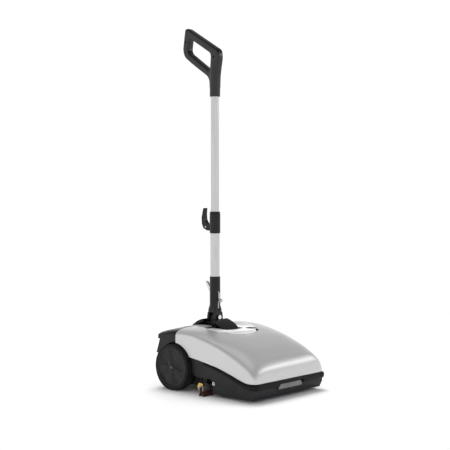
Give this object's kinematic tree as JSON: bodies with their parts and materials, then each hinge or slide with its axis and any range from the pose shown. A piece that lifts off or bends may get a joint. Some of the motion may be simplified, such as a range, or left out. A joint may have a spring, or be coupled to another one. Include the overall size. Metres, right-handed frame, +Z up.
{
  "type": "floor scrubber machine",
  "caption": "Compact upright battery floor scrubber: wheeled body with hinged hood, roller brush and squeegee, and a tilting, swivelling telescopic handle with a closed grip.",
  "frame": {"origin": "middle of the footprint, on the floor, with the handle upright", "axes": "+Z up along the handle; -Y to the front, +X to the operator's left"},
  "size_m": [0.364, 0.453, 1.1369],
  "materials": {
    "silver": "silver metallic paint, satin",
    "bright_trim": "bright satin",
    "black_plastic": "fine moulded texture",
    "black_rubber": "matt",
    "smoke_plastic": "translucent grey",
    "aluminium": "satin anodised",
    "steel": "brushed",
    "chrome": "polished",
    "brass": "polished",
    "bristle_blue": "nylon bristles",
    "blade_rubber": "brown rubber",
    "tank_plastic": "natural moulded plastic",
    "tyre": "matt"
  },
  "bodies": {
    "chassis": {"base_shell": "black_plastic", "bumper_strip": "black_rubber", "front_window": "smoke_plastic", "rear_spine": "silver", "rear_panel": "black_plastic", "charging_inlet": "black_rubber", "battery_pack": "black_plastic", "solution_tank": "tank_plastic", "recovery_tank": "tank_plastic", "vacuum_motor": "steel", "suction_hose": "black_rubber", "brush_motor": "steel", "drive_belt": "black_rubber", "wheel_axle": "steel", "tilt_axle": "steel", "rear_cover_right": "black_plastic", "rear_cover_left": "black_plastic", "brush_bearing_right": "steel", "brush_bearing_left": "steel", "stop_bolt_right": "chrome", "stop_bolt_left": "chrome", "tilt_bracket_right": "steel", "tilt_bracket_left": "steel"},
    "hood": {"hood": "silver", "hood_bezel": "bright_trim", "finger_cup": "black_plastic"},
    "power_rocker": {"power_rocker": "black_rubber"},
    "filler_cap": {"filler_cap": "bristle_blue"},
    "motor_pulley": {"motor_pulley": "steel"},
    "brush": {"brush_core": "tank_plastic", "brush_bristles": "bristle_blue", "brush_pulley": "steel"},
    "squeegee": {"squeegee_channel": "steel", "front_blade": "blade_rubber", "rear_blade": "blade_rubber", "squeegee_arm_right": "steel", "squeegee_arm_left": "steel"},
    "knob_right": {"squeegee_knob_right": "brass"},
    "knob_left": {"squeegee_knob_left": "brass"},
    "wheel_right": {"tyre_right": "tyre", "wheel_hub_right": "black_plastic"},
    "wheel_left": {"tyre_left": "tyre", "wheel_hub_left": "black_plastic"},
    "saddle": {"saddle": "black_plastic"},
    "socket": {"handle_socket": "black_plastic", "pivot_bolt": "chrome", "lower_tube": "aluminium", "clamp_sleeve": "black_plastic", "clamp_pin": "steel"},
    "lock_pin": {"lock_pin": "chrome"},
    "socket_lever": {"socket_lever": "chrome"},
    "clamp_lever": {"clamp_lever": "black_plastic"},
    "handle": {"upper_tube": "aluminium", "grip_right": "black_plastic", "grip_left": "black_plastic", "grip_screw_1": "black_rubber", "grip_screw_2": "black_rubber", "grip_screw_3": "black_rubber"}
  },
  "joints": [
    {"name": "handle_tilt", "type": "hinge", "parent": "chassis", "child": "saddle", "pos_m": [0, 0.09354, 0.105], "axis": [-1, 0, 0], "range_deg": [0, 31]},
    {"name": "handle_roll", "type": "hinge", "parent": "saddle", "child": "socket", "pos_m": [0, 0.09354, 0.214], "axis": [0, 1, 0], "range_deg": [-35, 35]},
    {"name": "tube_telescope", "type": "slide", "parent": "socket", "child": "handle", "axis": [0, 0, 1], "range_m": [-0.12, 0.1]},
    {"name": "clamp_lever_turn", "type": "hinge", "parent": "socket", "child": "clamp_lever", "pos_m": [0, 0.12354, 0.5], "axis": [-1, 0, 0], "range_deg": [0, 90]},
    {"name": "lock_pin_slide", "type": "slide", "parent": "socket", "child": "lock_pin", "axis": [0, 0, 1], "range_m": [-0.022, 0]},
    {"name": "socket_lever_press", "type": "hinge", "parent": "socket", "child": "socket_lever", "pos_m": [0, 0.11354, 0.298], "axis": [1, 0, 0], "range_deg": [0, 12], "stiffness_Nm_per_rad": 0.5},
    {"name": "hood_open", "type": "hinge", "parent": "chassis", "child": "hood", "pos_m": [0, -0.22046, 0.057], "axis": [1, 0, 0], "range_deg": [0, 60]},
    {"name": "wheel_spin_right", "type": "hinge", "parent": "chassis", "child": "wheel_right", "pos_m": [-0.157, 0.11454, 0.0713], "axis": [1, 0, 0], "continuous": true},
    {"name": "wheel_spin_left", "type": "hinge", "parent": "chassis", "child": "wheel_left", "pos_m": [0.157, 0.11454, 0.0713], "axis": [1, 0, 0], "continuous": true},
    {"name": "brush_spin", "type": "hinge", "parent": "chassis", "child": "brush", "pos_m": [0, -0.14146, 0.052], "axis": [1, 0, 0], "continuous": true},
    {"name": "motor_spin", "type": "hinge", "parent": "chassis", "child": "motor_pulley", "pos_m": [0.149, -0.06346, 0.097], "axis": [1, 0, 0], "continuous": true},
    {"name": "squeegee_lift", "type": "hinge", "parent": "chassis", "child": "squeegee", "pos_m": [0, 0.00554, 0.022], "axis": [-1, 0, 0], "range_deg": [0, 12]},
    {"name": "knob_turn_right", "type": "hinge", "parent": "chassis", "child": "knob_right", "pos_m": [-0.15, 0.00554, 0.022], "axis": [1, 0, 0], "continuous": true},
    {"name": "knob_turn_left", "type": "hinge", "parent": "chassis", "child": "knob_left", "pos_m": [0.15, 0.00554, 0.022], "axis": [1, 0, 0], "continuous": true},
    {"name": "power_rocker_press", "type": "hinge", "parent": "chassis", "child": "power_rocker", "pos_m": [-0.033, 0.19204, 0.071], "axis": [1, 0, 0], "range_deg": [0, 12]},
    {"name": "filler_cap_turn", "type": "hinge", "parent": "chassis", "child": "filler_cap", "pos_m": [-0.087, 0.06354, 0.165], "axis": [0, 0, 1], "continuous": true}
  ],
  "couplings": [
    {"joint": "motor_spin", "follows": "brush_spin", "ratio": 2}
  ]
}
